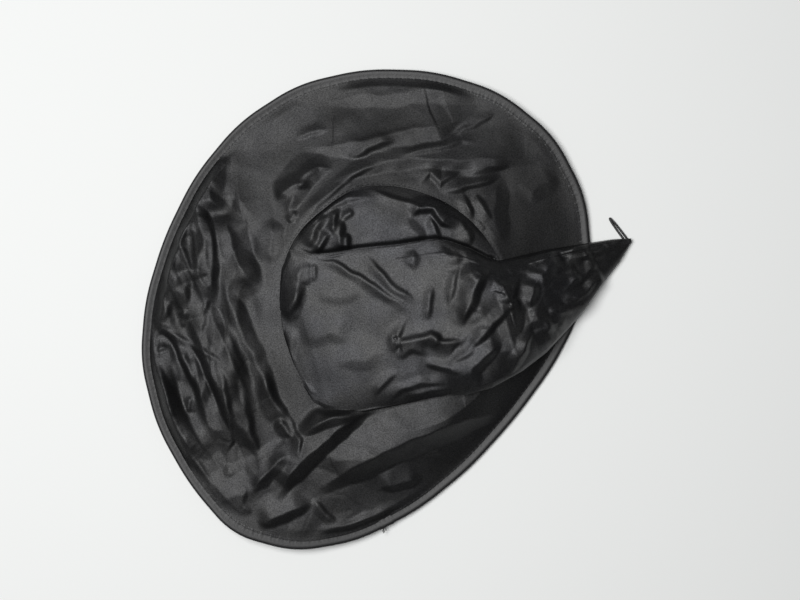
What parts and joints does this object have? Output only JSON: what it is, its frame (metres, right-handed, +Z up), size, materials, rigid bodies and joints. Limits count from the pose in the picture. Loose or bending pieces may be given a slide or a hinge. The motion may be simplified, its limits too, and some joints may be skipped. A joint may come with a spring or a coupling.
{
  "type": "witch hat",
  "caption": "Soft black costume hat with a wired floppy brim and a tall cone folded over flat, a cord loop at its tip and a sewn-in label.",
  "frame": {"origin": "centre of the head opening at the lower edge of the sweatband, which is the resting plane", "axes": "+Z up out of the resting plane, +X towards the side that the cone has fallen to, +Y to complete the right-handed frame (the top of the seen-from-above picture)"},
  "size_m": [0.4011, 0.3931, 0.058],
  "materials": {
    "woven_black": "matt",
    "under_black": "matt",
    "tape_black": "satin",
    "ribbon_black": "satin",
    "thread_black": "matt",
    "spring_steel": "satin",
    "crimped_steel": "satin",
    "cord_black": "satin",
    "label_white": "satin"
  },
  "bodies": {
    "brim": {"brim_hoop_wire": "spring_steel", "hoop_ferrule": "crimped_steel", "edge_binding": "tape_black", "edge_binding_lap": "tape_black", "edge_binding_stitches": "thread_black", "edge_thread_end": "thread_black", "brim_upper_panel_back": "woven_black", "brim_upper_panel_front": "woven_black", "brim_lower_panel_back": "under_black", "brim_lower_panel_front": "under_black", "sweatband": "ribbon_black", "sweatband_lap": "ribbon_black", "crown_seam_allowance": "woven_black", "crown_seam_stitches": "thread_black", "crown_lower_panel": "woven_black", "crown_side_seam_lower": "woven_black"},
    "crown_middle": {"crown_middle_panel": "woven_black", "crown_side_seam_middle": "woven_black"},
    "crown_tip": {"crown_tip_panel": "woven_black", "crown_side_seam_tip": "woven_black", "tip_bar_tack": "thread_black"},
    "hanging_loop": {"hanging_loop": "cord_black"},
    "care_label": {"care_label": "label_white"}
  },
  "joints": [
    {"name": "crown_fold", "type": "hinge", "parent": "brim", "child": "crown_middle", "pos_m": [0.01842, -0.0098, 0.0348], "axis": [0.2756, -0.9613, 0], "range_deg": [0, 90]},
    {"name": "tip_fold", "type": "hinge", "parent": "crown_middle", "child": "crown_tip", "pos_m": [0.09502, -0.00396, 0.052], "axis": [0.2756, -0.9613, 0], "range_deg": [0, 90]},
    {"name": "loop_swing", "type": "hinge", "parent": "crown_tip", "child": "hanging_loop", "pos_m": [0.1946, 0.0558, 0.0013], "axis": [0, 0, 1], "range_deg": [-110, 50]},
    {"name": "label_flip", "type": "hinge", "parent": "brim", "child": "care_label", "pos_m": [-0.00775, 0.08856, 0.0232], "axis": [0.9962, 0.0872, 0], "range_deg": [0, 75]}
  ]
}
